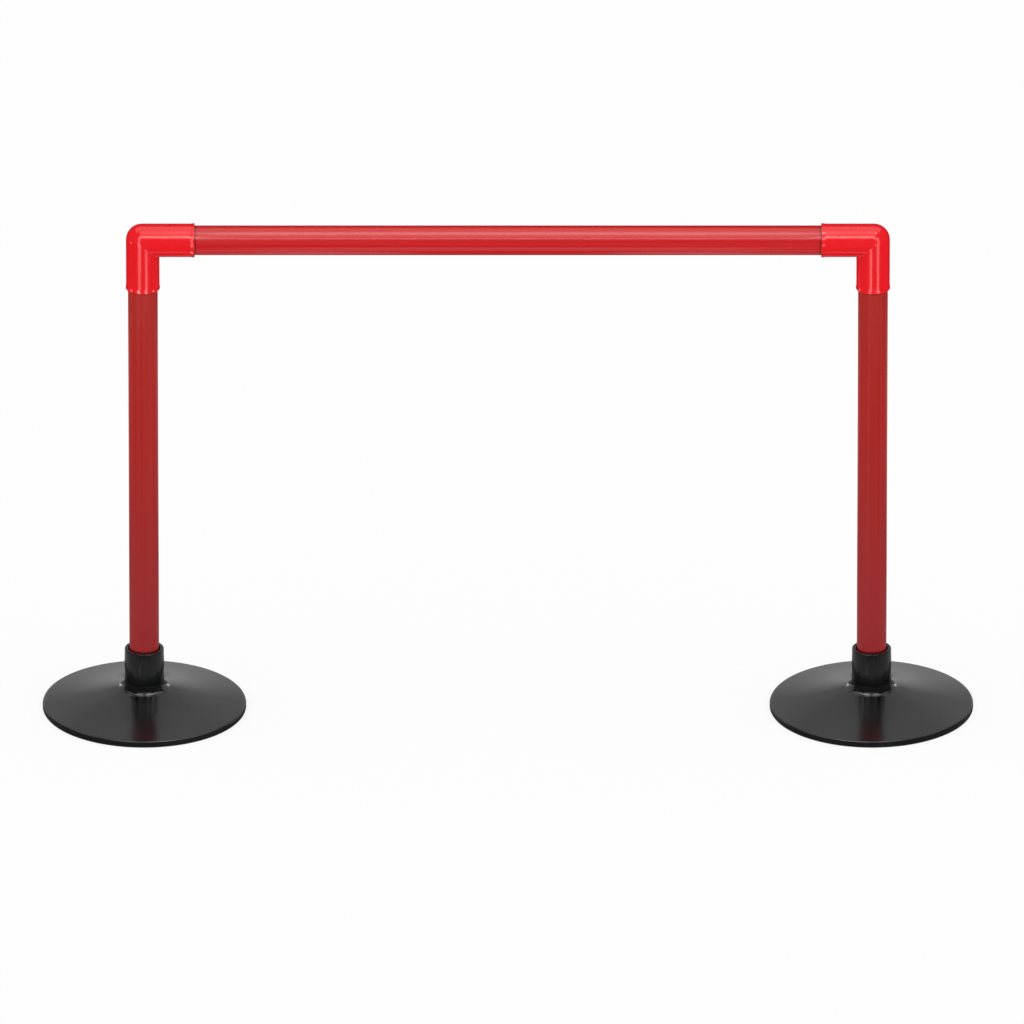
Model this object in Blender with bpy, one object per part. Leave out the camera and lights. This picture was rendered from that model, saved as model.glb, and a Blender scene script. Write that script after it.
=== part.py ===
# A knock-down training hurdle: three lengths of plastic pipe, two moulded elbows
# that they push into, and two round moulded rubber bases that the posts stand in.
# The bar runs along X, up is +Z, and the origin is on the floor midway between the posts.

import bpy
import bmesh
from math import atan2, cos, degrees, pi, radians, sin
from mathutils import Matrix, Vector

# The frame
POST_SPACING = 0.786            # between the two post axes
BAR_HEIGHT = 0.549              # from the floor to the bar's axis

# Pipe, one stock for the bar and both posts
PIPE_DIAMETER = 0.0320
PIPE_WALL = 0.0020
PIPE_END_CHAMFER = 0.0005

# Fits
PUSH_CLEARANCE = 0.0003         # round a pipe, all round, in an elbow or at the foot of a base
SEAT_GAP = 0.0003               # between a pipe's end and the stop that it meets

# Elbow
ELBOW_WALL = 0.0017             # round the sockets
ELBOW_ARM = 0.0560              # from the corner to each mouth
ELBOW_SOCKET_DEPTH = 0.0340     # from the mouth to the stop
ELBOW_THROAT_DIAMETER = 0.0276  # the passage that turns the corner between the stops
ELBOW_CORNER_ROUND = 0.0171     # outside the corner, tighter than the leg's own radius
ELBOW_CROTCH_FILLET = 0.0016    # inside the corner, fading out round the sides
BEAD_WIDTH = 0.0032
BEAD_HEIGHT = 0.0003
MOUTH_LEAD = 0.0007             # the flare inside the mouth that guides the pipe in

# Base, its outside
BASE_DIAMETER = 0.2200
RIM_HEIGHT = 0.0070
RIM_ROUND = 0.0026
FOOT_CHAMFER = 0.0008
DOME_HEIGHT = 0.0238            # where the collar's fillet leaves the dome
DOME_SAG = 0.0017               # how far the dome hangs below a straight cone, as a bell's flank does
COLLAR_HEIGHT = 0.0700
COLLAR_MOUTH_DIAMETER = 0.0423
COLLAR_FOOT_DIAMETER = 0.0436
COLLAR_FILLET = 0.0095
LIP_ROUND = 0.0011

# Base, its socket and its hollow underside
SOCKET_MOUTH_DIAMETER = 0.0350
SOCKET_FLOOR = 0.0060           # above the ground
SHELL_WALL = 0.0060             # from the hollow's roof up to that straight cone
FOOT_RING_WIDTH = 0.0120
HUB_WALL = 0.0052               # round the foot of the socket
HUB_RELIEF = 0.0015             # the hub stops this far above the ground
RIB_COUNT = 8
RIB_THICKNESS = 0.0030
RIB_RELIEF = 0.0022
RIB_ROOT = 0.0020               # how far a rib runs into the shell, the hub and the foot ring

# Facets
PIPE_SEGMENTS = 40
BASE_SEGMENTS = 64
CORNER_STEPS = 5
DOME_STEPS = 4
ROUND_STEPS = 3

# Worked out from the sizes above
PIPE_RADIUS = PIPE_DIAMETER / 2
PUSH_RADIUS = PIPE_RADIUS + PUSH_CLEARANCE
ELBOW_RADIUS = PUSH_RADIUS + ELBOW_WALL
ELBOW_STOP = ELBOW_ARM - ELBOW_SOCKET_DEPTH
BASE_RADIUS = BASE_DIAMETER / 2
COLLAR_MOUTH_RADIUS = COLLAR_MOUTH_DIAMETER / 2
COLLAR_FOOT_RADIUS = COLLAR_FOOT_DIAMETER / 2
SOCKET_MOUTH_RADIUS = SOCKET_MOUTH_DIAMETER / 2
HUB_RADIUS = PUSH_RADIUS + HUB_WALL
FOOT_RING_INNER = BASE_RADIUS - FOOT_RING_WIDTH
DOME_FOOT_RADIUS = COLLAR_FOOT_RADIUS + COLLAR_FILLET
DOME_RUN = BASE_RADIUS - RIM_ROUND - DOME_FOOT_RADIUS
DOME_SLOPE = atan2(DOME_HEIGHT - RIM_HEIGHT, DOME_RUN)
FILLET_SLOPE = atan2(DOME_HEIGHT - RIM_HEIGHT + pi * DOME_SAG, DOME_RUN)
RIM_SLOPE = atan2(DOME_HEIGHT - RIM_HEIGHT - pi * DOME_SAG, DOME_RUN)
POST_FOOT = SOCKET_FLOOR + SEAT_GAP
POST_LENGTH = BAR_HEIGHT - ELBOW_STOP - SEAT_GAP - POST_FOOT
BAR_LENGTH = POST_SPACING - 2 * (ELBOW_STOP + SEAT_GAP)

# Two points of one mesh closer than this are one point
WELD = 0.000002


def clear_scene():
    for old in list(bpy.data.objects):
        bpy.data.objects.remove(old, do_unlink=True)


def plastic(name, colour, roughness):
    material = bpy.data.materials.new(name)
    material.use_nodes = True
    shader = material.node_tree.nodes["Principled BSDF"]
    shader.inputs["Base Color"].default_value = (*colour, 1.0)
    shader.inputs["Roughness"].default_value = roughness
    shader.inputs["Metallic"].default_value = 0.0
    material.diffuse_color = (*colour, 1.0)
    return material


def arc(centre, radius, start, end, steps):
    # Points of an arc in a profile, with the angles in degrees from the outward direction
    points = []
    for step in range(steps + 1):
        angle = radians(start + (end - start) * step / steps)
        points.append((centre[0] + radius * cos(angle), centre[1] + radius * sin(angle)))
    return points


def finish_mesh(bm, name):
    # Welds what meets, faces everything outwards and shades the round parts smooth
    bmesh.ops.remove_doubles(bm, verts=bm.verts, dist=WELD)
    bmesh.ops.recalc_face_normals(bm, faces=bm.faces)
    mesh = bpy.data.meshes.new(name)
    bm.to_mesh(mesh)
    bm.free()
    mesh.shade_smooth()
    mesh.set_sharp_from_angle(angle=radians(35))
    return mesh


def turned(name, profile, segments, axis):
    # A closed profile of (radius, distance along the axis) turned once round that axis
    bm = bmesh.new()
    if axis == "X":
        points = [Vector((along, 0.0, radius)) for radius, along in profile]
        direction = Vector((1.0, 0.0, 0.0))
    else:
        points = [Vector((radius, 0.0, along)) for radius, along in profile]
        direction = Vector((0.0, 0.0, 1.0))
    outline = [bm.verts.new(point) for point in points]
    edges = [bm.edges.new((outline[i - 1], outline[i])) for i in range(1, len(outline))]
    open_on_axis = profile[0][0] < WELD and profile[-1][0] < WELD
    if not open_on_axis:
        edges.append(bm.edges.new((outline[-1], outline[0])))
    bmesh.ops.spin(bm, geom=outline + edges, cent=(0.0, 0.0, 0.0), axis=direction,
                   angle=2 * pi, steps=segments, use_merge=True)
    return finish_mesh(bm, name)


def pipe_mesh(name, length, axis):
    # The pipe starts at its object's origin and runs along +Z or +X
    inner = PIPE_RADIUS - PIPE_WALL
    edge = PIPE_END_CHAMFER
    profile = [
        (inner, 0.0),
        (PIPE_RADIUS - edge, 0.0),
        (PIPE_RADIUS, edge),
        (PIPE_RADIUS, length - edge),
        (PIPE_RADIUS - edge, length),
        (inner, length),
    ]
    return turned(name, profile, PIPE_SEGMENTS, axis)


def leg_ring(radius, distance):
    # A ring round the leg that points down, this far from the corner
    ring = []
    for step in range(PIPE_SEGMENTS):
        angle = 2 * pi * step / PIPE_SEGMENTS
        ring.append(Vector((radius * cos(angle), radius * sin(angle), -distance)))
    return ring


def corner_ring(radius, corner_round, fillet, share):
    # As share goes from 0 to 1, the outer half of the ring passes over a ball of the corner's
    # round that touches both legs, and the inner half swings round the crotch's fillet
    ring = []
    turn = pi / 2 * share
    inset = radius - corner_round
    for step in range(PIPE_SEGMENTS):
        angle = 2 * pi * step / PIPE_SEGMENTS
        across = cos(angle)
        sideways = sin(angle)
        if across > 0:
            bend = fillet * across
            ring.append(Vector((radius * across + bend * (1 - cos(turn)), radius * sideways,
                                -radius * across - bend * (1 - sin(turn)))))
        else:
            ball = inset * Vector((across, sideways, -across))
            reach = Vector((across, sideways, 0.0)).slerp(Vector((0.0, sideways, -across)), share)
            ring.append(ball + corner_round * reach)
    return ring


def other_leg(ring):
    # The same ring on the leg that points along +X, mirrored in the mitre
    return [Vector((-point.z, point.y, -point.x)) for point in ring]


def bent_skin(leg, radius, corner_round, fillet):
    # Rings from the mouth of one leg, round the corner, to the mouth of the other
    down = [leg_ring(ring_radius, distance) for ring_radius, distance in leg]
    turn = [corner_ring(radius, corner_round, fillet, step / CORNER_STEPS)
            for step in range(CORNER_STEPS + 1)]
    across = [other_leg(ring) for ring in reversed(down)]
    return down + turn + across


def elbow_mesh(name):
    # Its origin is the corner, where the axes of the two legs cross
    bead_radius = ELBOW_RADIUS + BEAD_HEIGHT
    throat = ELBOW_THROAT_DIAMETER / 2
    outside = [
        (ELBOW_RADIUS - BEAD_HEIGHT / 2, ELBOW_ARM),
        (bead_radius, ELBOW_ARM - BEAD_WIDTH / 4),
        (bead_radius, ELBOW_ARM - BEAD_WIDTH * 5 / 8),
        (ELBOW_RADIUS, ELBOW_ARM - BEAD_WIDTH),
    ]
    inside = [
        (PUSH_RADIUS + MOUTH_LEAD, ELBOW_ARM),
        (PUSH_RADIUS, ELBOW_ARM - MOUTH_LEAD),
        (PUSH_RADIUS, ELBOW_STOP),
        (throat, ELBOW_STOP),
    ]
    rings = bent_skin(outside, ELBOW_RADIUS, ELBOW_CORNER_ROUND, ELBOW_CROTCH_FILLET)
    rings += reversed(bent_skin(inside, throat, throat, 0.0))

    bm = bmesh.new()
    loops = [[bm.verts.new(point) for point in ring] for ring in rings]
    for index, loop in enumerate(loops):
        before = loops[index - 1]
        for step in range(PIPE_SEGMENTS):
            bm.faces.new((before[step - 1], before[step], loop[step], loop[step - 1]))
    return finish_mesh(bm, name)


def dome_points():
    # The dome's own stretch, from the fillet to the rim, steep at first and flatter further out
    start = (DOME_FOOT_RADIUS - COLLAR_FILLET * sin(FILLET_SLOPE), DOME_HEIGHT)
    end = (BASE_RADIUS - RIM_ROUND * (1 - sin(RIM_SLOPE)), RIM_HEIGHT - RIM_ROUND * (1 - cos(RIM_SLOPE)))
    points = []
    for step in range(DOME_STEPS + 1):
        share = step / DOME_STEPS
        height = start[1] + (end[1] - start[1]) * share - DOME_SAG * sin(pi * share)
        points.append((start[0] + (end[0] - start[0]) * share, height))
    return points


def under_shell(radius):
    # Height of the hollow's roof, one shell wall below the straight cone
    return DOME_HEIGHT - SHELL_WALL - (radius - DOME_FOOT_RADIUS) * sin(DOME_SLOPE)


def base_profile():
    # From the socket's floor, up and over the collar, out to the rim and back underneath
    lip_height = COLLAR_HEIGHT - LIP_ROUND
    fillet_centre = (DOME_FOOT_RADIUS, DOME_HEIGHT + COLLAR_FILLET * cos(FILLET_SLOPE))
    rim_centre = (BASE_RADIUS - RIM_ROUND, RIM_HEIGHT - RIM_ROUND)

    profile = [(0.0, SOCKET_FLOOR), (PUSH_RADIUS, SOCKET_FLOOR)]
    profile += arc((SOCKET_MOUTH_RADIUS + LIP_ROUND, lip_height), LIP_ROUND, 180, 90, ROUND_STEPS)
    profile += arc((COLLAR_MOUTH_RADIUS - LIP_ROUND, lip_height), LIP_ROUND, 90, 0, ROUND_STEPS)
    profile += arc(fillet_centre, COLLAR_FILLET, 180, 270 - degrees(FILLET_SLOPE), ROUND_STEPS + 1)[:-1]
    profile += dome_points()
    profile += arc(rim_centre, RIM_ROUND, 90 - degrees(RIM_SLOPE), 0, ROUND_STEPS)[1:]
    profile += [
        (BASE_RADIUS, FOOT_CHAMFER),
        (BASE_RADIUS - FOOT_CHAMFER, 0.0),
        (FOOT_RING_INNER, 0.0),
        (FOOT_RING_INNER, under_shell(FOOT_RING_INNER)),
        (HUB_RADIUS, under_shell(HUB_RADIUS)),
        (HUB_RADIUS, HUB_RELIEF),
        (0.0, HUB_RELIEF),
    ]
    return profile


def rib_guide():
    # The ribs under the shell, as separate walls that a union joins to the base
    inner = HUB_RADIUS - RIB_ROOT
    outer = FOOT_RING_INNER + RIB_ROOT
    side = [
        (inner, RIB_RELIEF),
        (outer, RIB_RELIEF),
        (outer, under_shell(outer) + RIB_ROOT),
        (inner, under_shell(inner) + RIB_ROOT),
    ]
    bm = bmesh.new()
    for index in range(RIB_COUNT):
        turn = Matrix.Rotation(2 * pi * (index + 0.5) / RIB_COUNT, 4, "Z")
        corners = [bm.verts.new(turn @ Vector((radius, -RIB_THICKNESS / 2, height)))
                   for radius, height in side]
        face = bm.faces.new(corners)
        swept = bmesh.ops.extrude_face_region(bm, geom=[face])
        moved = [item for item in swept["geom"] if isinstance(item, bmesh.types.BMVert)]
        bmesh.ops.translate(bm, verts=moved, vec=turn @ Vector((0.0, RIB_THICKNESS, 0.0)))
    return finish_mesh(bm, "base_ribs")


def place(name, mesh, material, location, parent=None, turn=0.0):
    # location is given in the hurdle's own frame, whatever the piece hangs on
    piece = bpy.data.objects.new(name, mesh)
    bpy.context.scene.collection.objects.link(piece)
    if not mesh.materials:
        mesh.materials.append(material)
    piece.location = location
    piece.rotation_euler = (0.0, 0.0, turn)
    if parent is not None:
        piece.parent = parent
        piece.matrix_parent_inverse = parent.matrix_basis.inverted()
    return piece


def build():
    clear_scene()
    bar_red = plastic("bar_pipe_red", (0.57, 0.018, 0.024), 0.36)
    post_red = plastic("post_pipe_red", (0.36, 0.022, 0.026), 0.40)
    elbow_red = plastic("elbow_red", (0.80, 0.010, 0.018), 0.20)
    rubber = plastic("base_black_rubber", (0.030, 0.031, 0.032), 0.38)

    base = turned("base", base_profile(), BASE_SEGMENTS, "Z")
    post = pipe_mesh("post", POST_LENGTH, "Z")
    bar = pipe_mesh("crossbar", BAR_LENGTH, "X")
    elbow = elbow_mesh("elbow")
    ribs = rib_guide()

    left = -POST_SPACING / 2
    right = POST_SPACING / 2
    left_base = place("left_base", base, rubber, (left, 0.0, 0.0))
    left_post = place("left_post", post, post_red, (left, 0.0, POST_FOOT), left_base)
    left_elbow = place("left_elbow", elbow, elbow_red, (left, 0.0, BAR_HEIGHT), left_post)
    crossbar = place("crossbar", bar, bar_red, (-BAR_LENGTH / 2, 0.0, BAR_HEIGHT), left_elbow)
    right_elbow = place("right_elbow", elbow, elbow_red, (right, 0.0, BAR_HEIGHT), crossbar, pi)
    right_post = place("right_post", post, post_red, (right, 0.0, POST_FOOT), right_elbow)
    right_base = place("right_base", base, rubber, (right, 0.0, 0.0), right_post)

    for side, piece in (("left", left_base), ("right", right_base)):
        guide = place(side + "_ribs_guide", ribs, rubber, piece.location, piece)
        guide.hide_render = True
        guide.display_type = "WIRE"
        join = piece.modifiers.new("join ribs", "BOOLEAN")
        join.operation = "UNION"
        join.solver = "EXACT"
        join.object = guide


build()
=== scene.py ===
from math import atan2, cos, pi, radians, sin, tan

import bmesh
import bpy
from mathutils import Matrix, Vector


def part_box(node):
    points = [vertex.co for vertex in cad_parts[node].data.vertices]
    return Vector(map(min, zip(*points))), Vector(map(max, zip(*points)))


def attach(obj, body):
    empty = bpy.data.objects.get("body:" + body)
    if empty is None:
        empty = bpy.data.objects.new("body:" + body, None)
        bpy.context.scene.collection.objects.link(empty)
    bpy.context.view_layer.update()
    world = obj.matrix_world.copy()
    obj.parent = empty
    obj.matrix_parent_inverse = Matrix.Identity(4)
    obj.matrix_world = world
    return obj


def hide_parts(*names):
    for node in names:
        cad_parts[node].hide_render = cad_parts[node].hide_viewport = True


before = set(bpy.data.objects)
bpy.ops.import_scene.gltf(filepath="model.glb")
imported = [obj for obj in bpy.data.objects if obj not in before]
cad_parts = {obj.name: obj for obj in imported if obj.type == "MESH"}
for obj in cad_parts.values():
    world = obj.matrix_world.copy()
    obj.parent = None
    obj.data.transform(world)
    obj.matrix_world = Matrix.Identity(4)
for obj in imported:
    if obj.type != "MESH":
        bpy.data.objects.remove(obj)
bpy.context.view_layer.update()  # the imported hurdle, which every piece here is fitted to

scene = bpy.context.scene
scene.view_settings.view_transform = "Standard"

right = Vector((1.0, 0.0, 0.0))
up = Vector((0.0, 0.0, 1.0))
barLow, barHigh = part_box("crossbar")
barHeight = (barLow.z + barHigh.z) / 2
barMiddle = Vector((0.0, 0.0, barHeight))
legLow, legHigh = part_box("right_post")
legSpot = (legLow.x + legHigh.x) / 2  # from the middle out to the axis of either leg

# Camera: a long lens from far away, because the legs stand parallel in the photograph
view = {
    "place": (0.0044, -40.0, 17.7822),
    "downward": 0.41351,  # how far it looks down, in radians
    "lens": 1423.15,
    "sensor": 36.0,
    "farthest": 120.0,
}


def makeCamera():
    data = bpy.data.cameras.new("hurdleCamera")
    data.lens = view["lens"]
    data.sensor_width = view["sensor"]
    data.clip_end = view["farthest"]
    camera = bpy.data.objects.new("hurdleCamera", data)
    scene.collection.objects.link(camera)
    camera.location = view["place"]
    camera.rotation_euler = (pi / 2 - view["downward"], 0.0, 0.0)
    scene.camera = camera


makeCamera()
print("camera: done")


class Wire:
    # A node's output that takes part in sums
    def __init__(self, graph, socket):
        self.graph = graph
        self.socket = socket

    def math(self, operation, first, second=0.0):
        return self.graph.node("Math", {"operation": operation}, {0: first, 1: second})

    def __add__(self, other):
        return self.math("ADD", self, other)

    def __radd__(self, other):
        return self.math("ADD", other, self)

    def __sub__(self, other):
        return self.math("SUBTRACT", self, other)

    def __rsub__(self, other):
        return self.math("SUBTRACT", other, self)

    def __mul__(self, other):
        return self.math("MULTIPLY", self, other)

    def __rmul__(self, other):
        return self.math("MULTIPLY", other, self)

    def __pow__(self, other):
        return self.math("POWER", self, other)

    def __abs__(self):
        return self.math("ABSOLUTE", self)

    def top(self, other):
        return self.math("MAXIMUM", self, other)

    def between(self, start, end):
        # 0 up to start, 1 from end on, and a smooth rise from one to the other
        limits = {"Value": self, "From Min": start, "From Max": end}
        return self.graph.node("MapRange", {"interpolation_type": "SMOOTHSTEP"}, limits)

    def above(self, least):
        # Runs from least to 1 where the wire itself runs from 0 to 1
        return least + (1 - least) * self


class Graph:
    # The nodes of one material or of the world
    def __init__(self, owner):
        owner.use_nodes = True
        self.tree = owner.node_tree
        self.tree.nodes.clear()

    def node(self, kind, settings=None, inputs=None, out=0):
        made = self.tree.nodes.new("ShaderNode" + kind)
        for name, value in (settings or {}).items():
            setattr(made, name, value)
        for name, value in (inputs or {}).items():
            socket = made.inputs[name]
            if isinstance(value, Wire):
                self.tree.links.new(value.socket, socket)
            elif socket.type == "RGBA":
                socket.default_value = (*value, 1.0)
            else:
                socket.default_value = value
        if made.outputs:
            return Wire(self, made.outputs[out])

    def place(self):
        return self.node("TexCoord", out="Object")

    def part(self, vector, letter):
        return self.node("SeparateXYZ", None, {"Vector": vector}, letter)

    def fromLegs(self, spot):
        # Distance from the axis of the nearer leg
        ahead = self.part(spot, "Y")
        beside = abs(self.part(spot, "X")) - legSpot
        return (ahead * ahead + beside * beside) ** 0.5

    def noise(self, vector, scale, detail, roughness=0.5, shape=(1.0, 1.0, 1.0)):
        shaped = self.node("Mapping", None, {"Vector": vector, "Scale": shape})
        values = {"Vector": shaped, "Scale": scale, "Detail": detail, "Roughness": roughness}
        return self.node("TexNoise", None, values)

    def colour(self, share, first, second):
        return self.node("Mix", {"data_type": "RGBA"}, {0: share, 6: first, 7: second}, 2)

    def ray(self, kind):
        return self.node("LightPath", out="Is " + kind + " Ray")

    def looking(self):
        # 1 for rays that show the studio as it looks, 0 for those that only gather its light
        return self.ray("Camera").top(self.ray("Glossy")).top(self.ray("Transmission"))

    def mixed(self, share, first, second):
        return self.node("MixShader", None, {0: share, 1: first, 2: second})

    def bump(self, height, distance, below=None):
        values = {"Height": height, "Distance": distance, "Strength": 1.0}
        if below is not None:
            values["Normal"] = below
        return self.node("Bump", None, values)

    def finish(self, kind, shader):
        self.node("Output" + kind, None, {"Surface": shader})


def grey(shade):
    return (shade, shade, shade)


# Studio: white all round, with soft light that comes a little more from the front and the sides
studio = {
    "softLight": 0.74,
    "fromFront": 0.26,
    "fromSides": 0.48,
    "floorRadius": 5.0,
    "floorSegments": 96,
    "floorShade": 0.18,  # how much of the shadow shows on the floor
    "floorTone": 0.78,  # how much light the floor throws back up at the hurdle
}

# Drapes, a floor mat, a board and a flag that only gloss sees, because plastic mirrors a dark
# room. The mat is lit in a ring round each base. The board is lit in a band at its foot, in one
# at its top and beside each leg.
drapes = {
    "radius": 4.2,
    "segments": 72,
    "rings": 36,
    "shade": 0.11,
    "matLift": 0.001,
    "matShade": 0.09,
    "matLight": 0.12,
    "matRingInside": (0.112, 0.122),  # distances from the leg over which the light comes on
    "matRingOutside": (0.24, 0.34),  # and over which it goes off
    "boardWidth": 2.2,
    "boardHeight": 0.66,
    "boardLift": 0.002,
    "boardBehind": 0.42,
    "boardShade": 0.42,
    "boardLight": 0.74,
    "footBand": (0.10, 0.23),  # heights over which it goes off
    "topBand": (0.29, 0.43),  # heights over which it comes on
    "topBandShare": 0.9,
    "ends": (0.45, 0.35),  # share of the light beside each leg, and what is added higher up
    "endsHeight": (0.19, 0.26),  # heights over which that is added
    "endsDistance": (0.07, 0.18),  # distances from the leg over which it comes on
    "flag": (0.34, 0.60),  # from and to this height, so that the crossbar's edges mirror the dark
    "flagFade": 0.08,
    "flagWidth": 1.4,
    "flagBehind": 0.12,
    "flagShade": 0.03,
}


def makeWorld():
    world = bpy.data.worlds.new("studio")
    scene.world = world
    world.cycles.sampling_method = "NONE"  # the kinds of ray are told apart only without it
    graph = Graph(world)
    white = graph.looking()
    way = graph.node("TexCoord", out="Generated")
    front = 0 - graph.part(way, "Y")
    sides = abs(graph.part(way, "X"))
    soft = studio["softLight"] + studio["fromFront"] * front + studio["fromSides"] * sides
    strength = white + (1 - white) * soft
    back = graph.node("Background", None, {"Color": grey(1.0), "Strength": strength})
    graph.finish("World", back)


def stagePiece(name, bm, build):
    # A piece of the studio, which the hurdle is seen against or mirrors
    mesh = bpy.data.meshes.new(name)
    bm.to_mesh(mesh)
    bm.free()
    material = bpy.data.materials.new(name)
    material.cycles.emission_sampling = "NONE"
    graph = Graph(material)
    graph.finish("Material", build(graph))
    mesh.materials.append(material)
    piece = bpy.data.objects.new(name, mesh)
    scene.collection.objects.link(piece)
    return piece


def glow(graph, tone):
    return graph.node("Emission", None, {"Color": tone, "Strength": 1.0})


def buildFloorFinish(graph):
    white = graph.looking()
    shadowed = graph.node("BsdfDiffuse", None, {"Color": grey(1.0)})
    bounced = graph.node("BsdfDiffuse", None, {"Color": grey(studio["floorTone"])})
    seen = graph.mixed(studio["floorShade"], glow(graph, grey(1.0)), shadowed)
    return graph.mixed(white, bounced, seen)


def makeFloor():
    bm = bmesh.new()
    bmesh.ops.create_circle(bm, cap_ends=True, segments=studio["floorSegments"],
                            radius=studio["floorRadius"])
    stagePiece("floor", bm, buildFloorFinish)


def hang(name, bm, build):
    # A drape: only gloss sees it, and it keeps no light back
    piece = stagePiece(name, bm, build)
    piece.visible_camera = False
    piece.visible_diffuse = False
    piece.visible_transmission = False
    piece.visible_shadow = False


def buildDrapesFinish(graph):
    return glow(graph, grey(drapes["shade"]))


def buildMatFinish(graph):
    away = graph.fromLegs(graph.place())
    ring = away.between(*drapes["matRingInside"]) * (1 - away.between(*drapes["matRingOutside"]))
    return glow(graph, graph.colour(ring, grey(drapes["matShade"]), grey(drapes["matLight"])))


def buildBoardFinish(graph):
    d = drapes
    spot = graph.place()
    height = graph.part(spot, "Z")
    beside = abs(abs(graph.part(spot, "X")) - legSpot)
    foot = 1 - height.between(*d["footBand"])
    bands = foot + d["topBandShare"] * height.between(*d["topBand"])
    low, more = d["ends"]
    ends = (low + more * height.between(*d["endsHeight"])) * beside.between(*d["endsDistance"])
    share = bands.top(ends)
    return glow(graph, graph.colour(share, grey(d["boardShade"]), grey(d["boardLight"])))


def buildFlagFinish(graph):
    low = drapes["flag"][0]
    share = graph.part(graph.place(), "Z").between(low, low + drapes["flagFade"])
    return graph.mixed(share, graph.node("BsdfTransparent"), glow(graph, grey(drapes["flagShade"])))


def uprightSheet(width, height, behind, middle):
    # Stands across the view behind the hurdle, with its centre at the height middle
    bm = bmesh.new()
    bmesh.ops.create_grid(bm, x_segments=1, y_segments=1, size=0.5)  # 1 m wide, then scaled
    bmesh.ops.scale(bm, vec=(width, height, 1.0), verts=bm.verts)
    bmesh.ops.rotate(bm, matrix=Matrix.Rotation(pi / 2, 3, "X"), verts=bm.verts)
    bmesh.ops.translate(bm, vec=(0.0, behind, middle), verts=bm.verts)
    return bm


def makeDrapes():
    d = drapes
    bm = bmesh.new()
    bmesh.ops.create_uvsphere(bm, u_segments=d["segments"], v_segments=d["rings"],
                              radius=d["radius"])
    hang("drapes", bm, buildDrapesFinish)

    bm = bmesh.new()
    bmesh.ops.create_circle(bm, cap_ends=True, segments=d["segments"], radius=d["radius"])
    bmesh.ops.translate(bm, vec=(0.0, 0.0, d["matLift"]), verts=bm.verts)
    hang("mat", bm, buildMatFinish)

    middle = d["boardHeight"] / 2 + d["boardLift"]
    hang("board", uprightSheet(d["boardWidth"], d["boardHeight"], d["boardBehind"], middle),
         buildBoardFinish)

    low, high = d["flag"]
    hang("flag", uprightSheet(d["flagWidth"], high - low, d["flagBehind"], (low + high) / 2),
         buildFlagFinish)


def makeCard(name, centre, facing, across, width, height, radiance, spread=180.0):
    # A soft lamp that only gloss sees: it faces along facing, and its width runs along across
    data = bpy.data.lights.new(name, "AREA")
    data.shape = "RECTANGLE"
    data.size = width
    data.size_y = height
    data.spread = radians(spread)
    widest = 179.0  # the half of 180 has no tangent
    half = radians(min(spread, widest)) / 2
    gathered = 1 - half / tan(half)  # a narrow spread gathers the light
    data.energy = radiance * pi * width * height * gathered
    lamp = bpy.data.objects.new(name, data)
    scene.collection.objects.link(lamp)
    back = -Vector(facing).normalized()
    side = Vector(across).normalized()
    turn = Matrix((side, back.cross(side), back)).transposed()
    lamp.matrix_world = Matrix.Translation(centre) @ turn.to_4x4()
    lamp.visible_camera = False
    lamp.visible_diffuse = False
    lamp.visible_transmission = False
    lamp.visible_volume_scatter = False


def aheadOf(start, angle, distance):
    # A point in front of start and up by an angle that passes overhead at 90 degrees
    return Vector(start) + distance * Vector((0.0, -cos(radians(angle)), sin(radians(angle))))


# Cards along the crossbar, each from one angle to another as seen from it
cards = {
    "overhead": {"angles": (88.0, 130.0), "above": 1.6, "width": 3.2, "radiance": 1.25},
    "under": {"angles": (-33.0, -62.0), "height": 0.01, "length": 0.58, "radiance": 0.8},
    # Strips that face it: angle from, angle to, distance, length, radiance and spread
    "strips": {
        "softBox": (46.0, 66.0, 2.00, 1.80, 1.27, 90.0),
        "ahead": (46.0, 64.0, 0.60, 0.68, 1.0, 44.0),
        "ridge": (66.0, 87.0, 0.50, 0.68, 2.4, 180.0),
        "ridgeLong": (66.0, 87.0, 0.60, 1.10, 1.9, 180.0),
        "brow": (32.0, 41.0, 0.50, 0.68, 4.4, 52.0),
        "browElbow": (38.0, 49.0, 0.35, 0.10, 6.6, 52.0),  # one for each elbow
    },
    "elbowInset": 0.012,  # where those two aim, from the leg's axis inwards
}


def makeCards():
    box = cards["overhead"]
    near, far = (-box["above"] / tan(radians(angle)) for angle in box["angles"])
    middle = (0.0, (near + far) / 2, barHeight + box["above"])
    makeCard("overheadCard", middle, -up, right, box["width"], far - near, box["radiance"])

    corner = right * (legSpot - cards["elbowInset"])
    for name, strip in cards["strips"].items():
        low, high, distance, length, radiance, spread = strip
        tall = 2 * distance * tan(radians(high - low) / 2)
        aims = [barMiddle - corner, barMiddle + corner] if name == "browElbow" else [barMiddle]
        for aim in aims:
            spot = aheadOf(aim, (low + high) / 2, distance)
            makeCard(name + "Card", spot, aim - spot, right, length, tall, radiance, spread)

    sheet = cards["under"]
    far, near = (barHeight / tan(radians(angle)) for angle in sheet["angles"])
    middle = (0.0, (near + far) / 2, sheet["height"])
    makeCard("underCard", middle, up, right, sheet["length"], near - far, sheet["radiance"])


# Rows of cards that each elbow's upright leg mirrors, at bearings from straight ahead of it.
# The outer row makes the line that climbs over the corner, the inner one the shorter line.
uprights = {
    "left": {"outer": (-22.5, 5.2), "inner": (25.0, 6.3)},  # bearing and radiance
    "right": {"outer": (33.5, 5.0), "inner": (-15.0, 7.6)},
    # Rise and height of each card in a row
    "outer": ((-21.0, 0.165), (-8.0, 0.19), (6.0, 0.19), (20.0, 0.19), (34.0, 0.19)),
    "inner": ((-18.5, 0.240),),
    "drop": 0.012,  # where they aim, below the corner
    "distance": 0.80,
    "width": 0.30,
    "spread": 22.0,
}


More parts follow.
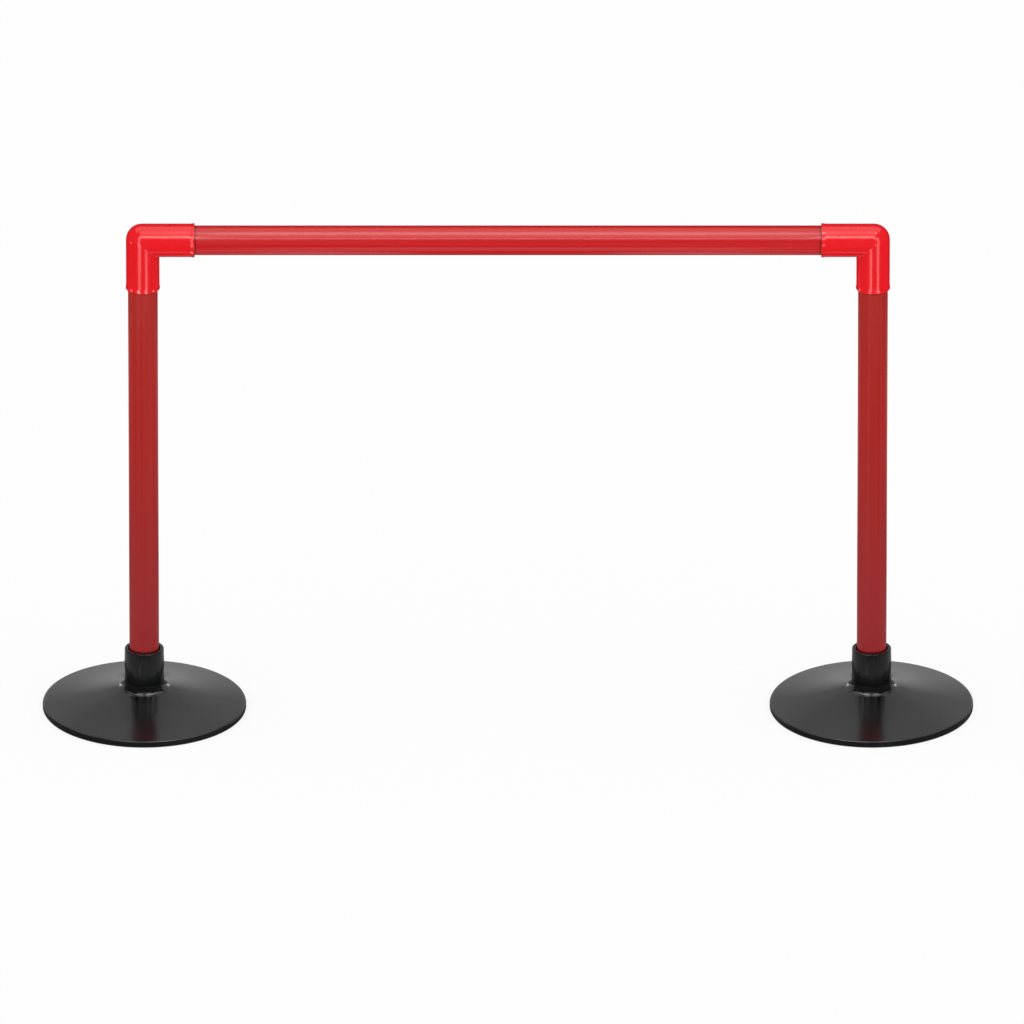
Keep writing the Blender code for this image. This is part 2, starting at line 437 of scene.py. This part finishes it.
def makeUprights():
    u = uprights
    for name, side in (("left", -1), ("right", 1)):
        leg = Vector((side * legSpot, 0.0, barHeight - u["drop"]))
        for row in ("outer", "inner"):
            bearing, radiance = u[name][row]
            across = Vector((cos(radians(bearing)), sin(radians(bearing)), 0.0))
            for rise, height in u[row]:
                away = across.cross(up) * cos(radians(rise))
                away.z = sin(radians(rise))
                makeCard(name + "UprightCard", leg + away * u["distance"], -away, across,
                         u["width"], height, radiance, u["spread"])


# Narrow beams that only the elbows' flared mouths mirror, as a few bright spots on each: for a
# leg's mouth the bearing and radiance, for an arm's the angle up over the bar and radiance
sparkles = {
    "left": {"leg": ((-82.0, 6.0), (-28.0, 20.0), (20.0, 17.0), (74.0, 6.0)),
             "arm": ((42.0, 9.0), (-17.0, 4.5), (-72.0, 11.0))},
    "right": {"leg": ((-100.0, 5.0), (-21.0, 10.0), (35.0, 7.0)),
              "arm": ((74.0, 15.0), (32.0, 10.0), (-12.0, 6.0))},
    "legLean": 8.0,
    "armLean": 16.0,
    "inset": 0.003,  # where they aim, from the mouth inwards
    "distance": 0.30,
    "width": 0.110,
    "height": 0.090,
    "spread": 20.5,
}


def makeSparkles():
    k = sparkles
    legLean, armLean = radians(k["legLean"]), radians(k["armLean"])
    for name, side in (("left", -1), ("right", 1)):
        low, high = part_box(name + "_elbow")
        legMouth = Vector((side * legSpot, 0.0, low.z + k["inset"]))
        armMouth = Vector((side * (min(abs(low.x), abs(high.x)) + k["inset"]), 0.0, barHeight))
        beams = []
        for bearing, radiance in k[name]["leg"]:
            turn = radians(bearing)
            ahead = Vector((sin(turn), -cos(turn), 0.0)) * cos(legLean)
            beams.append((legMouth, ahead - up * sin(legLean), radiance))
        for rise, radiance in k[name]["arm"]:
            ahead = aheadOf((0.0, 0.0, 0.0), rise, cos(armLean))
            beams.append((armMouth, ahead + right * (side * sin(armLean)), radiance))
        for mouth, away, radiance in beams:
            makeCard(name + "Sparkle", mouth + away * k["distance"], -away, away.cross(up),
                     k["width"], k["height"], radiance, k["spread"])


# For each base, sheets of light in a ring on the floor round it, which its collar mirrors, and
# small lamps to both sides of it, which the fillet at the collar's foot mirrors
footLamps = {
    "sheets": 7,
    "sheetTurn": 48.0,
    "sheetHeight": 0.004,
    "sheetRadius": 0.214,
    "sheetWidth": 0.190,
    "sheetDepth": 0.140,
    "sheetRadiance": 0.60,
    "sheetSpread": 164.0,
    "fillet": (-0.024, 0.027),  # where the small lamps aim: y from the leg's axis, and z
    # How far each small lamp leans out sideways, its rise, which passes overhead at 90 degrees,
    # its distance, width, height, radiance and spread
    "small": ((14.0, 80.0, 0.52, 0.16, 0.28, 2.9, 100.0),
              (36.0, 104.0, 0.52, 0.16, 0.20, 1.0, 100.0),
              (23.5, 174.5, 0.431, 0.08, 0.12, 2.6, 20.0)),
}


def makeFootLamps():
    f = footLamps
    for side in (-1, 1):
        ground = Vector((side * legSpot, 0.0, f["sheetHeight"]))
        for step in range(f["sheets"]):
            turn = radians(f["sheetTurn"]) * (step - (f["sheets"] - 1) / 2)
            away = Vector((sin(turn), -cos(turn), 0.0))
            makeCard("footSheet", ground + away * f["sheetRadius"], up, away.cross(up),
                     f["sheetWidth"], f["sheetDepth"], f["sheetRadiance"], f["sheetSpread"])
        fillet = Vector((side * legSpot, *f["fillet"]))
        for hand in (-1, 1):
            for lean, rise, distance, width, height, radiance, spread in f["small"]:
                lean = hand * radians(lean)
                rise = radians(rise)
                away = Vector((sin(lean), -cos(lean) * cos(rise), cos(lean) * sin(rise)))
                across = Vector((0.0, -sin(rise), -cos(rise))).cross(away)
                makeCard("footCard", fillet + away * distance, -away, across,
                         width, height, radiance, spread)


makeWorld()
makeFloor()
makeDrapes()
makeCards()
makeUprights()
makeSparkles()
makeFootLamps()
print("studio: done")


def makeMaterial(name, build):
    material = bpy.data.materials.new(name)
    graph = Graph(material)
    graph.finish("Material", graph.node("BsdfPrincipled", None, build(graph)))
    return material


# Elbows: a glossy moulding with slight sink marks, so that its highlights wander.
# A noise is given by its scale and its detail, and a third number is its roughness.
elbowFinish = {
    "red": (0.900, 0.0040, 0.011),
    "deepRed": (0.860, 0.0035, 0.010),
    "clouds": (34.0, 2.0),
    "deepClouds": (0.35, 0.75),  # from no deep red to all of it
    "roughness": 0.17,
    "roughClouds": 0.05,
    "grain": (2600.0, 2.0),
    "grainHeight": 0.0000025,
    "sink": (130.0, 1.0),
    "sinkHeight": 0.000030,
    "seam": (0.0001, 0.0004),  # half its width at the crest and at the foot
    "seamHeight": 0.00005,
}


def buildElbowFinish(graph):
    e = elbowFinish
    spot = graph.place()
    clouds = graph.noise(spot, *e["clouds"])
    sink = graph.noise(spot, *e["sink"])
    grain = graph.noise(spot, *e["grain"])
    seam = 1 - abs(graph.part(spot, "Y")).between(*e["seam"])
    skin = graph.bump(grain, e["grainHeight"])
    skin = graph.bump(sink, e["sinkHeight"], skin)
    skin = graph.bump(seam, e["seamHeight"], skin)
    return {
        "Base Color": graph.colour(clouds.between(*e["deepClouds"]), e["red"], e["deepRed"]),
        "Roughness": e["roughness"] + e["roughClouds"] * (clouds - 0.5),
        "Normal": skin,
    }


# Pipe: extruded, so that its streaks and die lines run along it
pipeFinish = {
    "streaks": (1.0, 2.0, 0.5),
    "roughStreaks": 0.10,
    "dieLines": (4.0, 2.0, 0.5),
    "dieShare": 0.3,  # of the streaks' height
    "scuffs": (420.0, 3.0, 0.6),
    "scuffEdges": (0.62, 0.80),
    "scuffHeight": -0.000004,
    "roughScuffs": 0.06,
    "contactShadeEdges": (0.0005, 0.0014),  # half the width of the painted contact shade at a socket's mouth, at its darkest and in all
    "contactShadeOffElbow": 0.0004,  # from the mouth outwards
    "contactShadeOffBase": 0.0002,
}
barFinish = {
    "red": (0.605, 0.0050, 0.0095),
    "paleRed": (0.640, 0.0140, 0.0160),
    "paleStreaks": (0.40, 0.72),
    # Colour of the painted contact shade on the bar at each elbow's mouth
    "contactShade": (0.180, 0.0100, 0.0080),
    "roughness": 0.19,
    "streakHeight": 0.000008,
    "stretch": (1.2, 260.0, 260.0),
}
postFinish = {
    "red": (0.415, 0.0100, 0.0065),
    "paleRed": (0.455, 0.0180, 0.0130),
    "paleStreaks": (0.38, 0.68),
    # Painted reflection: a paler, greyer red at the post's foot, where it would mirror the floor
    "foot": (0.350, 0.0215, 0.0235),
    "footSheenFade": (0.05, 0.40),  # heights over which the paler, greyer red at the foot, a painted reflection of the floor, goes over into red
    # A noise that gives the edge of the painted floor reflection at the foot a ragged line
    "dustAndSheen": (60.0, 3.0),
    "sheenEdgeReach": 0.06,
    # Colour of the painted contact shade on the post under the elbow's mouth and at the collar's
    # top
    "contactShade": (0.105, 0.0060, 0.0070),
    "roughness": 0.42,
    "shine": 0.20,
    "streakHeight": 0.000012,
    "stretch": (260.0, 260.0, 1.2),
}


def pipeSkin(graph, finish):
    p = pipeFinish
    spot = graph.place()
    streaks = graph.noise(spot, *p["streaks"], finish["stretch"])
    dieLines = graph.noise(spot, *p["dieLines"], finish["stretch"])
    scuffs = graph.noise(spot, *p["scuffs"]).between(*p["scuffEdges"])
    skin = graph.bump(dieLines, finish["streakHeight"] * p["dieShare"])
    skin = graph.bump(streaks, finish["streakHeight"], skin)
    skin = graph.bump(scuffs, p["scuffHeight"], skin)
    rough = finish["roughness"] + p["roughStreaks"] * (streaks - 0.5) + p["roughScuffs"] * scuffs
    return spot, streaks, skin, rough


def paintedContactShade(along, mouth):
    # Painted shade: a thin dark ring on the pipe where a socket's mouth meets it, standing in for
    # the contact shadow there
    return 1 - abs(along - mouth).between(*pipeFinish["contactShadeEdges"])


def buildBarFinish(graph):
    b = barFinish
    spot, streaks, skin, rough = pipeSkin(graph, b)
    red = graph.colour(streaks.between(*b["paleStreaks"]), b["red"], b["paleRed"])
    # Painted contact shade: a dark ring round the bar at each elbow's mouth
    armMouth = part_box("right_elbow")[0].x - pipeFinish["contactShadeOffElbow"]
    contactShade = paintedContactShade(abs(graph.part(spot, "X")), armMouth)
    return {
        "Base Color": graph.colour(contactShade, red, b["contactShade"]),
        "Roughness": rough,
        "Normal": skin,
    }


def buildPostFinish(graph):
    p = postFinish
    spot, streaks, skin, rough = pipeSkin(graph, p)
    red = graph.colour(streaks.between(*p["paleStreaks"]), p["red"], p["paleRed"])
    # The painted floor reflection at the foot, with a ragged edge
    dustAndSheen = graph.noise(spot, *p["dustAndSheen"])
    height = graph.part(spot, "Z")
    low = 1 - (height + p["sheenEdgeReach"] * (dustAndSheen - 0.5)).between(*p["footSheenFade"])
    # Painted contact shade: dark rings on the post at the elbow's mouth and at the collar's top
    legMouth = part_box("left_elbow")[0].z - pipeFinish["contactShadeOffElbow"]
    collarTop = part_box("left_base")[1].z + pipeFinish["contactShadeOffBase"]
    contactShade = paintedContactShade(height, legMouth).top(paintedContactShade(height, collarTop))
    red = graph.colour(low, red, p["foot"])
    return {
        "Base Color": graph.colour(contactShade, red, p["contactShade"]),
        "Specular IOR Level": p["shine"],
        "Roughness": rough,
        "Normal": skin,
    }


# Bases: black moulded rubber, a little dusty. Pairs of distances are from the leg's axis.
rubberFinish = {
    "black": (0.0018, 0.0021, 0.0024),
    "dustAndSheen": (0.0140, 0.0142, 0.0146),
    "clouds": (14.0, 3.0),
    "dustClouds": (0.42, 0.68),
    "leastClouds": 0.5,
    "patches": (70.0, 4.0, 0.6),
    "leastPatches": 0.6,
    "dustStart": (0.028, 0.050),
    "leastDust": 0.25,  # on the collar
    "roughness": 0.115,
    "roughPatches": 0.03,
    "roughDust": 0.02,
    "roughDisc": 0.04,
    "discStart": (0.030, 0.040),
    "discSlope": (0.05, 0.09),
    "slopeShare": 0.5,
    "pebbles": (900.0, 2.0),
    "pebbleHeight": 0.000003,
    "grain": (3800.0, 2.0),
    "grainHeight": 0.000001,
}


def buildRubberFinish(graph):
    r = rubberFinish
    spot = graph.place()
    clouds = graph.noise(spot, *r["clouds"])
    patches = graph.noise(spot, *r["patches"])
    pebbles = graph.noise(spot, *r["pebbles"])
    grain = graph.noise(spot, *r["grain"])
    skin = graph.bump(pebbles, r["pebbleHeight"])
    skin = graph.bump(grain, r["grainHeight"], skin)
    away = graph.fromLegs(spot)
    disc = away.between(*r["discStart"]) + r["slopeShare"] * away.between(*r["discSlope"])
    drifts = clouds.between(*r["dustClouds"]).above(r["leastClouds"])
    drifts = drifts * patches.above(r["leastPatches"])
    dusty = drifts * away.between(*r["dustStart"]).above(r["leastDust"])
    rough = r["roughness"] + r["roughPatches"] * (patches - 0.5)
    rough = rough + r["roughDust"] * dusty + r["roughDisc"] * disc
    return {
        "Base Color": graph.colour(dusty, r["black"], r["dustAndSheen"]),
        "Roughness": rough,
        "Normal": skin,
    }


elbowRed = makeMaterial("elbowRed", buildElbowFinish)
barRed = makeMaterial("barRed", buildBarFinish)
postRed = makeMaterial("postRed", buildPostFinish)
blackRubber = makeMaterial("blackRubber", buildRubberFinish)
print("finishes: done")

meshing = {
    "weld": 0.000002,  # points that are nearer than this are merged
    "near": 0.00002,  # a point this near to a ring lies on it
    "sharp": 32.0,  # an edge that bends by more than this stays sharp
}


def showPiece(name, bm, material, node):
    # Merges what meets and turns every face outwards. The piece then stands for its CAD node,
    # on that node's body, which has the node's name.
    bmesh.ops.remove_doubles(bm, verts=bm.verts, dist=meshing["weld"])
    bmesh.ops.recalc_face_normals(bm, faces=bm.faces)
    mesh = bpy.data.meshes.new(name)
    bm.to_mesh(mesh)
    bm.free()
    mesh.shade_smooth()
    mesh.set_sharp_from_angle(angle=radians(meshing["sharp"]))
    mesh.materials.append(material)
    piece = bpy.data.objects.new(name, mesh)
    scene.collection.objects.link(piece)
    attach(piece, node)
    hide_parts(node)
    print("piece:", name, len(mesh.polygons), "faces")


def spinProfile(outline, centre, axis, segments):
    # Turns an outline of points once round an axis through centre
    bm = bmesh.new()
    corners = [bm.verts.new(point) for point in outline]
    edges = [bm.edges.new(pair) for pair in zip(corners, corners[1:])]
    edges.append(bm.edges.new((corners[-1], corners[0])))
    bmesh.ops.spin(bm, geom=corners + edges, cent=centre, axis=axis,
                   angle=2 * pi, steps=segments, use_merge=True)
    bmesh.ops.remove_doubles(bm, verts=bm.verts, dist=meshing["weld"])
    return bm


def roundRing(bm, centre, axis, radius, along, size, steps):
    # Rounds the ring of edges at this radius and this far along the axis
    def onRing(vert):
        reach = vert.co - centre
        far = reach.dot(axis)
        out = (reach - far * axis).length
        return abs(far - along) < meshing["near"] and abs(out - radius) < meshing["near"]

    edges = [edge for edge in bm.edges if onRing(edge.verts[0]) and onRing(edge.verts[1])]
    bmesh.ops.bevel(bm, geom=edges, offset=size, offset_type="OFFSET", segments=steps,
                    profile=0.5, affect="EDGES", clamp_overlap=False, material=-1)


pipe = {
    "wall": 0.0020,
    "segments": 128,
    "bands": 24,  # rings along its length
    "outerEdge": (0.0005, 3),  # how far the end's edges are rounded, and in how many steps
    "innerEdge": (0.0003, 2),
}


def makePipe(node, axis, material):
    low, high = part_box(node)
    middle = (low + high) / 2
    length = (high - low).dot(axis)
    radius = (high.y - low.y) / 2
    bore = radius - pipe["wall"]
    start = middle - axis * length / 2
    aside = Vector((0.0, 1.0, 0.0))
    shares = [step / pipe["bands"] for step in range(pipe["bands"] + 1)]
    outline = [start + axis * length * share + aside * radius for share in shares]
    outline += [start + axis * length + aside * bore, start + aside * bore]
    bm = spinProfile(outline, start, axis, pipe["segments"])
    for along in (0.0, length):
        roundRing(bm, start, axis, radius, along, *pipe["outerEdge"])
        roundRing(bm, start, axis, bore, along, *pipe["innerEdge"])
    showPiece(node + "Pipe", bm, material, node)


makePipe("crossbar", right, barRed)
makePipe("left_post", up, postRed)
makePipe("right_post", up, postRed)

# Distances along an elbow's leg are from its corner, but those of the plain rings from the mouth
elbow = {
    "segments": 96,
    "arm": 0.0560,
    "radius": 0.0180,
    "bead": 0.0005,
    "beadWidth": 0.0040,
    "beadSteps": 10,
    "lip": 0.0009,
    "lipSteps": 4,
    "plainRings": (0.012, 0.022),
    "bore": 0.0163,
    "boreRing": 0.010,  # from the stop
    "flare": 0.0007,
    "flareLength": 1.6,  # times the flare
    "stop": 0.0220,
    "stopEdge": 0.0004,
    "throat": 0.0138,
    "throatCrotch": 0.0005,
    "cornerRound": 0.0171,
    "crotch": 0.0016,
    "cornerSteps": 14,
}


def legOutline():
    # Radius and distance from the corner, along the outside of one leg, from the rounded lip of
    # the mouth over the flare's crest to the plain leg
    e = elbow
    crest = e["radius"] + e["bead"]
    points = []
    for step in range(e["lipSteps"] + 1):
        turn = pi / 2 * step / e["lipSteps"]
        points.append((crest - e["lip"] * (1 - sin(turn)), e["arm"] - e["lip"] * (1 - cos(turn))))
    for step in range(1, e["beadSteps"] + 1):
        share = step / e["beadSteps"]
        flare = e["bead"] * (1 + cos(pi * share)) / 2
        points.append((e["radius"] + flare, e["arm"] - e["lip"] - e["beadWidth"] * share))
    return points + [(e["radius"], e["arm"] - depth) for depth in e["plainRings"]]


def boreOutline():
    # The same for the inside, from the stop's throat out to the mouth
    e = elbow
    return [
        (e["throat"], e["stop"] - e["stopEdge"]),
        (e["throat"] + e["stopEdge"], e["stop"]),
        (e["bore"], e["stop"]),
        (e["bore"], e["stop"] + e["boreRing"]),
        (e["bore"], e["arm"] - e["flare"] * e["flareLength"]),
        (e["bore"] + e["flare"], e["arm"]),
    ]


def ringOnLeg(verts, angles, radius, distance):
    for vert, angle in zip(verts, angles):
        vert.co = (radius * cos(angle), radius * sin(angle), -distance)


def ringOnArm(verts, angles, radius, distance):
    for vert, angle in zip(verts, angles):
        vert.co = (distance, radius * sin(angle), -radius * cos(angle))


def ringOnCorner(verts, angles, radius, cornerRound, fillet, share):
    # The outer half passes over a ball that touches both legs, the inner half round the crotch
    turn = pi / 2 * share
    for vert, angle in zip(verts, angles):
        across = cos(angle)
        sideways = sin(angle)
        if across > 0:
            bend = fillet * across
            vert.co = (radius * across + bend * (1 - cos(turn)), radius * sideways,
                       -radius * across - bend * (1 - sin(turn)))
        else:
            ball = (radius - cornerRound) * Vector((across, sideways, -across))
            reach = Vector((across, sideways, 0.0)).slerp(Vector((0.0, sideways, -across)), share)
            vert.co = ball + cornerRound * reach


def makeElbowShell():
    # A left elbow with its corner at the origin: one ring goes out from the leg's mouth round
    # the outside, and back through the bore
    e = elbow
    bm = bmesh.new()
    verts = list(bmesh.ops.create_circle(bm, segments=e["segments"], radius=1.0)["verts"])
    angles = [2 * pi * step / e["segments"] for step in range(e["segments"])]
    outside = legOutline()
    inside = boreOutline()
    corner = [step / e["cornerSteps"] for step in range(e["cornerSteps"] + 1)]
    outer = (e["radius"], e["cornerRound"], e["crotch"])
    inner = (e["throat"], e["throat"], e["throatCrotch"])

    moves = [(ringOnLeg, point) for point in outside]
    moves += [(ringOnCorner, (*outer, share)) for share in corner]
    moves += [(ringOnArm, point) for point in reversed(outside)]
    moves += [(ringOnArm, point) for point in reversed(inside)]
    moves += [(ringOnCorner, (*inner, share)) for share in reversed(corner)]
    moves += [(ringOnLeg, point) for point in inside]

    start = edges = list(bm.edges)
    move, values = moves[0]
    move(verts, angles, *values)
    for move, values in moves[1:]:
        grown = bmesh.ops.extrude_edge_only(bm, edges=edges)["geom"]
        fresh = [item for item in grown if isinstance(item, bmesh.types.BMVert)]
        pairs = {vert.co.to_tuple(9): vert for vert in fresh}  # found by where they still stand
        verts = [pairs[vert.co.to_tuple(9)] for vert in verts]
        held = set(verts)
        edges = [item for item in grown if isinstance(item, bmesh.types.BMEdge)
                 and item.verts[0] in held and item.verts[1] in held]
        move(verts, angles, *values)
    bmesh.ops.bridge_loops(bm, edges=edges + start)
    return bm


def makeElbow(node, side):
    bm = makeElbowShell()
    if side > 0:
        bmesh.ops.scale(bm, vec=(-1.0, 1.0, 1.0), verts=bm.verts)
    bmesh.ops.translate(bm, vec=(side * legSpot, 0.0, barHeight), verts=bm.verts)
    showPiece(node + "Moulding", bm, elbowRed, node)


makeElbow("left_elbow", -1)
makeElbow("right_elbow", 1)

base = {
    "segments": 192,
    "socket": 0.0163,
    "socketFloor": 0.0060,
    "socketMouth": 0.0175,
    "collarMouth": 0.02115,
    "collarFoot": 0.0218,
    "collarHeight": 0.0700,
    "fillet": 0.0095,
    "filletSteps": 10,
    "domeHeight": 0.0238,  # where the collar's fillet leaves the dome
    "domeSag": 0.0017,  # the flank hangs this far below a straight cone, like a bell's
    "domeSteps": 16,
    "domeInset": 0.01,  # share of the flank left free at either end for its rounding
    "radius": 0.109999,  # a hair inside the solid's, so that the box keeps its size
    "rimHeight": 0.0070,
    "rimRound": 0.0026,
    "rimSteps": 7,
    "footRing": 0.0980,
    "hub": 0.0215,
    "hubRelief": 0.0015,
    "shell": 0.0060,
    "ribs": 8,
    "ribWidth": 0.0030,
    "ribRelief": 0.0022,
    "ribRoot": 0.0020,
    # How far each of these edges is rounded, and in how many steps
    "mouthEdge": (0.0010, 4),
    "collarEdge": (0.0011, 5),
    "rimFootEdge": (0.0008, 2),
    "footRingEdge": (0.0006, 2),
    "hubEdge": (0.0005, 2),
    "socketFloorEdge": (0.0010, 2),
}


def makeRib(bm, centre, turn, inner, outer, tops):
    # A wall from the hub to the foot ring, whose top follows the hollow's sloping roof
    made = bmesh.ops.create_cube(bm, size=1.0)["verts"]
    for vert in made:
        far = vert.co.x > 0
        high = vert.co.z > 0
        vert.co = (outer if far else inner, vert.co.y * base["ribWidth"],
                   tops[far] if high else base["ribRelief"])
    bmesh.ops.rotate(bm, matrix=Matrix.Rotation(turn, 3, "Z"), verts=made)
    bmesh.ops.translate(bm, vec=centre, verts=made)


def makeBase(node, side):
    b = base
    centre = Vector((side * legSpot, 0.0, 0.0))
    run = b["radius"] - b["rimRound"] - b["collarFoot"] - b["fillet"]
    fall = b["domeHeight"] - b["rimHeight"]
    innerSlope = atan2(fall + pi * b["domeSag"], run)  # the sag makes the flank steeper inside
    outerSlope = atan2(fall - pi * b["domeSag"], run)  # and flatter at the rim
    inner = b["collarFoot"] + b["fillet"] * (1 - sin(innerSlope))
    outer = b["radius"] - b["rimRound"] * (1 - sin(outerSlope))
    low = b["rimHeight"] - b["rimRound"] * (1 - cos(outerSlope))

    def roof(radius):
        return b["domeHeight"] - b["shell"] - (radius - b["collarFoot"] - b["fillet"]) * fall / run

    def at(radius, height):
        return centre + Vector((radius, 0.0, height))

    dome = []
    for step in range(b["domeSteps"] + 1):
        share = b["domeInset"] + (1 - 2 * b["domeInset"]) * step / b["domeSteps"]
        height = b["domeHeight"] + (low - b["domeHeight"]) * share - b["domeSag"] * sin(pi * share)
        dome.append(at(inner + (outer - inner) * share, height))
    # The flank runs on to sharp corners at the collar and the rim, which are rounded below
    collarJoin = b["domeHeight"] + (inner - b["collarFoot"]) * tan(innerSlope)
    rimJoin = low - (b["radius"] - outer) * tan(outerSlope)
    outline = [at(0.0, b["socketFloor"]), at(b["socket"], b["socketFloor"]),
               at(b["socketMouth"], b["collarHeight"]), at(b["collarMouth"], b["collarHeight"]),
               at(b["collarFoot"], collarJoin)]
    outline += dome
    outline += [at(b["radius"], rimJoin), at(b["radius"], 0.0), at(b["footRing"], 0.0),
                at(b["footRing"], roof(b["footRing"])), at(b["hub"], roof(b["hub"])),
                at(b["hub"], b["hubRelief"]), at(0.0, b["hubRelief"])]
    bm = spinProfile(outline, centre, up, b["segments"])
    filletReach = b["fillet"] * tan((pi / 2 - innerSlope) / 2)
    rimReach = b["rimRound"] * tan((pi / 2 - outerSlope) / 2)
    for radius, height, edge in (
        (b["socketMouth"], b["collarHeight"], b["mouthEdge"]),
        (b["collarMouth"], b["collarHeight"], b["collarEdge"]),
        (b["collarFoot"], collarJoin, (filletReach, b["filletSteps"])),
        (b["radius"], rimJoin, (rimReach, b["rimSteps"])),
        (b["radius"], 0.0, b["rimFootEdge"]),
        (b["footRing"], 0.0, b["footRingEdge"]),
        (b["hub"], b["hubRelief"], b["hubEdge"]),
        (b["socket"], b["socketFloor"], b["socketFloorEdge"]),
    ):
        roundRing(bm, centre, up, radius, height, *edge)

    ribInner = b["hub"] - b["ribRoot"]
    ribOuter = b["footRing"] + b["ribRoot"]
    tops = (roof(ribInner) + b["ribRoot"], roof(ribOuter) + b["ribRoot"])
    for index in range(b["ribs"]):
        makeRib(bm, centre, 2 * pi * (index + 0.5) / b["ribs"], ribInner, ribOuter, tops)
    showPiece(node + "Moulding", bm, blackRubber, node)


makeBase("left_base", -1)
makeBase("right_base", 1)
